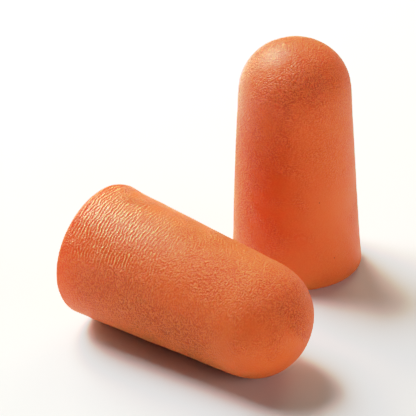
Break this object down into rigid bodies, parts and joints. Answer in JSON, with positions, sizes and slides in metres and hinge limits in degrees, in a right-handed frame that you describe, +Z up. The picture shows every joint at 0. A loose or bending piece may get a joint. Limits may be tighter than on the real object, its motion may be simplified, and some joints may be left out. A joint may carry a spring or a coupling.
{
  "type": "foam ear plugs",
  "caption": "Tapered, round-tipped ear plugs of slow-recovery foam that are rolled thin and swell to close the ear canal, shown standing and lying.",
  "frame": {"origin": "middle of the standing plug's flat end, on the surface that both plugs rest on", "axes": "+Z up along the standing plug's axis to its tip; -Y towards a viewer who has the lying plug in front and the standing plug behind it to the right (+X)"},
  "size_m": [0.0305, 0.0319, 0.0246],
  "materials": {
    "foam": "matte"
  },
  "bodies": {
    "standing_plug": {"standing_plug": "foam"},
    "lying_plug": {"lying_plug": "foam"}
  },
  "joints": [
    {"name": "lying_plug_lift", "type": "slide", "parent": "standing_plug", "child": "lying_plug", "axis": [0, 0, 1], "range_m": [0, 0.04]}
  ]
}
